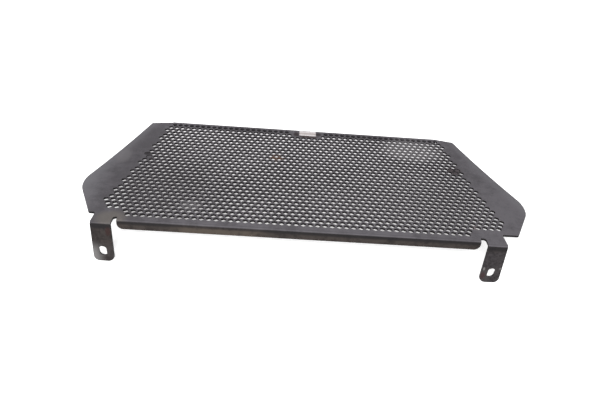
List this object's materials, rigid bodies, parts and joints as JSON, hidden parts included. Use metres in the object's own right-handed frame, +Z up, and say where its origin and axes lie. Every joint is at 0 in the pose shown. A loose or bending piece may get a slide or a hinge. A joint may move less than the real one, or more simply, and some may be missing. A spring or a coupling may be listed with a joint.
{
  "type": "motorcycle radiator guard",
  "caption": "Black folded sheet-metal guard, slightly dished, with a honeycomb of hexagonal holes, lips along its long edges and slotted legs; it shields a motorcycle's radiator from stones.",
  "frame": {"origin": "middle of the bounding box, on the surface that the guard stands on", "axes": "+X across the motorcycle, +Y from the legs towards the far lip, +Z up from the resting surface"},
  "size_m": [0.4162, 0.1942, 0.0361],
  "materials": {
    "black_powder_coat": "worn satin black powder coat",
    "pale_label": "matt, slightly soiled"
  },
  "bodies": {
    "root": {"guard_panel": "black_powder_coat", "blank_label": "pale_label"}
  },
  "joints": []
}
